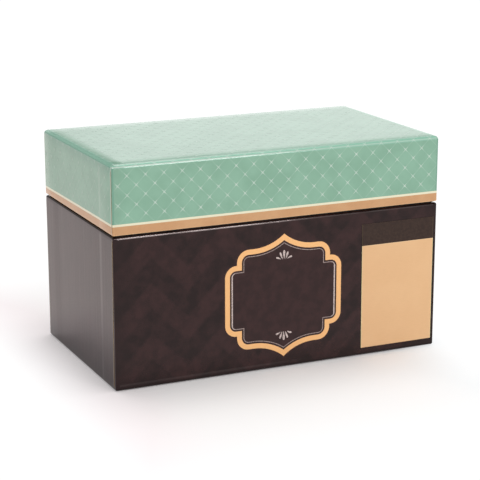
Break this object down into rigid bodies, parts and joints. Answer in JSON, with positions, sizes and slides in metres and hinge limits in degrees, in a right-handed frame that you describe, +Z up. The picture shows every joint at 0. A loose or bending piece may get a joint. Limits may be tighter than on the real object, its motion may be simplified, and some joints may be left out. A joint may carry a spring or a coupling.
{
  "type": "recipe box",
  "caption": "Rectangular wrapped-board card box with a flush lid hinged along its back, an inner neck, and tabbed dividers standing on edge.",
  "frame": {"origin": "centre of the closed box's underside, on the surface it stands on", "axes": "+Z up, +X along the length to the right seen from the front, the front faces -Y"},
  "size_m": [0.1906, 0.1094, 0.12],
  "materials": {
    "greyboard": "bare greyboard, matte",
    "base_paper": "printed dark brown chevron, gloss laminate",
    "lid_paper": "printed mint lattice with cream line and kraft band, gloss laminate",
    "lining_paper": "cream, uncoated",
    "underside_paper": "dark brown, uncoated",
    "neck_card": "dark brown paper over card, uncoated",
    "hinge_paper": "dark brown, grained",
    "label_paper": "kraft tan with a dark header, satin",
    "stay_tape": "gummed kraft tape, matte",
    "divider_card": "kraft card, satin"
  },
  "bodies": {
    "base": {"underside_paper": "underside_paper", "base_wrap": "base_paper", "base_bottom_board": "greyboard", "base_front_board": "greyboard", "base_back_board": "greyboard", "base_left_board": "greyboard", "base_right_board": "greyboard", "base_stay_front_left": "stay_tape", "base_stay_front_right": "stay_tape", "base_stay_back_left": "stay_tape", "base_stay_back_right": "stay_tape", "neck_front": "neck_card", "neck_left": "neck_card", "neck_right": "neck_card", "floor_lining": "lining_paper", "back_lining": "lining_paper", "front_label": "label_paper", "hinge_leaf_base": "hinge_paper"},
    "lid": {"lid_wrap": "lid_paper", "lid_top_board": "greyboard", "lid_front_board": "greyboard", "lid_back_board": "greyboard", "lid_left_board": "greyboard", "lid_right_board": "greyboard", "lid_stay_front_left": "stay_tape", "lid_stay_front_right": "stay_tape", "lid_stay_back_left": "stay_tape", "lid_stay_back_right": "stay_tape", "lid_lining": "lining_paper", "hinge_leaf_lid": "hinge_paper"},
    "divider_1": {"divider_1": "divider_card"},
    "divider_2": {"divider_2": "divider_card"},
    "divider_3": {"divider_3": "divider_card"},
    "divider_4": {"divider_4": "divider_card"},
    "divider_5": {"divider_5": "divider_card"},
    "divider_6": {"divider_6": "divider_card"},
    "divider_7": {"divider_7": "divider_card"},
    "divider_8": {"divider_8": "divider_card"}
  },
  "joints": [
    {"name": "lid_hinge", "type": "hinge", "parent": "base", "child": "lid", "pos_m": [0, 0.0547, 0.0829], "axis": [-1, 0, 0], "range_deg": [0, 175]},
    {"name": "divider_1_tilt", "type": "hinge", "parent": "base", "child": "divider_1", "pos_m": [0, -0.0385, 0.00295], "axis": [1, 0, 0], "range_deg": [0, 7]},
    {"name": "divider_2_tilt", "type": "hinge", "parent": "base", "child": "divider_2", "pos_m": [0, -0.0264, 0.00295], "axis": [1, 0, 0], "range_deg": [0, 5.5]},
    {"name": "divider_3_tilt", "type": "hinge", "parent": "base", "child": "divider_3", "pos_m": [0, -0.01431, 0.00295], "axis": [1, 0, 0], "range_deg": [0, 5.5]},
    {"name": "divider_4_tilt", "type": "hinge", "parent": "base", "child": "divider_4", "pos_m": [0, -0.00221, 0.00295], "axis": [1, 0, 0], "range_deg": [0, 5.5]},
    {"name": "divider_5_tilt", "type": "hinge", "parent": "base", "child": "divider_5", "pos_m": [0, 0.00989, 0.00295], "axis": [1, 0, 0], "range_deg": [0, 5.5]},
    {"name": "divider_6_tilt", "type": "hinge", "parent": "base", "child": "divider_6", "pos_m": [0, 0.02199, 0.00295], "axis": [1, 0, 0], "range_deg": [0, 5.5]},
    {"name": "divider_7_tilt", "type": "hinge", "parent": "base", "child": "divider_7", "pos_m": [0, 0.03408, 0.00295], "axis": [1, 0, 0], "range_deg": [0, 5.5]},
    {"name": "divider_8_tilt", "type": "hinge", "parent": "base", "child": "divider_8", "pos_m": [0, 0.04618, 0.00295], "axis": [1, 0, 0], "range_deg": [0, 5.5]}
  ]
}
